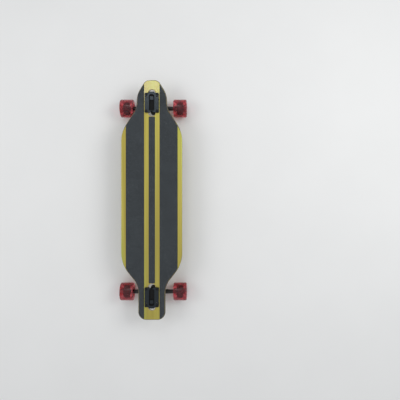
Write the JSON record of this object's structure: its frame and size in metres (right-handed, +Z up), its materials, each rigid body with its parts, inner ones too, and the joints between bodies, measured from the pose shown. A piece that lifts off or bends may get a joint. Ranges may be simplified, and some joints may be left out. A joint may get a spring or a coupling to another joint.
{
  "type": "longboard skateboard",
  "caption": "Drop-through longboard with a flared, concave deck, banded grip tape, sprung reverse-kingpin trucks and translucent wheels on ball bearings.",
  "frame": {"origin": "on the floor, under the centre of the deck", "axes": "+X along the deck to its nose, +Y to the rider's left, +Z up"},
  "size_m": [0.927, 0.2652, 0.108],
  "materials": {
    "gold_deck": "glossy metallic gold lacquer over laminated wood",
    "grip": "gritty abrasive sheet",
    "black_cast": "black coating, satin",
    "red_urethane": "translucent cast urethane",
    "red_bushing": "satin urethane",
    "core": "moulded",
    "cup": "moulded",
    "steel": "zinc plated",
    "bearing_steel": "ground and polished",
    "cage": "pressed"
  },
  "bodies": {
    "deck": {"deck": "gold_deck", "front_baseplate": "black_cast", "front_bushing_boardside": "red_bushing", "front_bushing_roadside": "red_bushing", "front_bushing_washers": "steel", "front_kingpin": "steel", "front_kingpin_nut": "steel", "front_mounting_bolts": "steel", "front_mounting_nuts": "steel", "front_pivot_cup": "cup", "griptape_center": "grip", "griptape_left": "grip", "griptape_right": "grip", "rear_baseplate": "black_cast", "rear_bushing_boardside": "red_bushing", "rear_bushing_roadside": "red_bushing", "rear_bushing_washers": "steel", "rear_kingpin": "steel", "rear_kingpin_nut": "steel", "rear_mounting_bolts": "steel", "rear_mounting_nuts": "steel", "rear_pivot_cup": "cup"},
    "front_hanger": {"front_axle": "steel", "front_axle_nuts": "steel", "front_bearing_inner_rings": "bearing_steel", "front_bearing_spacers": "steel", "front_hanger": "black_cast", "front_speed_rings": "steel"},
    "front_left_wheel": {"front_left_bearing_outer_rings": "bearing_steel", "front_left_bearing_shields": "bearing_steel", "front_left_core": "core", "front_left_tyre": "red_urethane"},
    "front_left_balls": {"front_left_bearing_balls": "bearing_steel", "front_left_bearing_cages": "cage"},
    "front_right_wheel": {"front_right_bearing_outer_rings": "bearing_steel", "front_right_bearing_shields": "bearing_steel", "front_right_core": "core", "front_right_tyre": "red_urethane"},
    "front_right_balls": {"front_right_bearing_balls": "bearing_steel", "front_right_bearing_cages": "cage"},
    "rear_hanger": {"rear_axle": "steel", "rear_axle_nuts": "steel", "rear_bearing_inner_rings": "bearing_steel", "rear_bearing_spacers": "steel", "rear_hanger": "black_cast", "rear_speed_rings": "steel"},
    "rear_left_wheel": {"rear_left_bearing_outer_rings": "bearing_steel", "rear_left_bearing_shields": "bearing_steel", "rear_left_core": "core", "rear_left_tyre": "red_urethane"},
    "rear_left_balls": {"rear_left_bearing_balls": "bearing_steel", "rear_left_bearing_cages": "cage"},
    "rear_right_wheel": {"rear_right_bearing_outer_rings": "bearing_steel", "rear_right_bearing_shields": "bearing_steel", "rear_right_core": "core", "rear_right_tyre": "red_urethane"},
    "rear_right_balls": {"rear_right_bearing_balls": "bearing_steel", "rear_right_bearing_cages": "cage"}
  },
  "joints": [
    {"name": "front_steer", "type": "hinge", "parent": "deck", "child": "front_hanger", "pos_m": [0.38033, 0, 0.05246], "axis": [0.7193, 0, 0.6947], "range_deg": [-15, 15], "stiffness_Nm_per_rad": 60, "deforming": ["front_bushing_boardside", "front_bushing_roadside"]},
    {"name": "front_left_spin", "type": "hinge", "parent": "front_hanger", "child": "front_left_wheel", "pos_m": [0.368, 0.1063, 0.035], "axis": [0, 1, 0], "continuous": true},
    {"name": "front_left_balls_roll", "type": "hinge", "parent": "front_hanger", "child": "front_left_balls", "pos_m": [0.368, 0.1063, 0.035], "axis": [0, 1, 0], "continuous": true},
    {"name": "front_right_spin", "type": "hinge", "parent": "front_hanger", "child": "front_right_wheel", "pos_m": [0.368, -0.1063, 0.035], "axis": [0, 1, 0], "continuous": true},
    {"name": "front_right_balls_roll", "type": "hinge", "parent": "front_hanger", "child": "front_right_balls", "pos_m": [0.368, -0.1063, 0.035], "axis": [0, 1, 0], "continuous": true},
    {"name": "rear_steer", "type": "hinge", "parent": "deck", "child": "rear_hanger", "pos_m": [-0.38033, 0, 0.05246], "axis": [-0.7193, 0, 0.6947], "range_deg": [-15, 15], "stiffness_Nm_per_rad": 60, "deforming": ["rear_bushing_boardside", "rear_bushing_roadside"]},
    {"name": "rear_left_spin", "type": "hinge", "parent": "rear_hanger", "child": "rear_left_wheel", "pos_m": [-0.368, 0.1063, 0.035], "axis": [0, 1, 0], "continuous": true},
    {"name": "rear_left_balls_roll", "type": "hinge", "parent": "rear_hanger", "child": "rear_left_balls", "pos_m": [-0.368, 0.1063, 0.035], "axis": [0, 1, 0], "continuous": true},
    {"name": "rear_right_spin", "type": "hinge", "parent": "rear_hanger", "child": "rear_right_wheel", "pos_m": [-0.368, -0.1063, 0.035], "axis": [0, 1, 0], "continuous": true},
    {"name": "rear_right_balls_roll", "type": "hinge", "parent": "rear_hanger", "child": "rear_right_balls", "pos_m": [-0.368, -0.1063, 0.035], "axis": [0, 1, 0], "continuous": true}
  ],
  "couplings": [
    {"joint": "front_left_balls_roll", "follows": "front_left_spin", "ratio": 0.63227},
    {"joint": "front_right_balls_roll", "follows": "front_right_spin", "ratio": 0.63227},
    {"joint": "rear_left_balls_roll", "follows": "rear_left_spin", "ratio": 0.63227},
    {"joint": "rear_right_balls_roll", "follows": "rear_right_spin", "ratio": 0.63227}
  ]
}
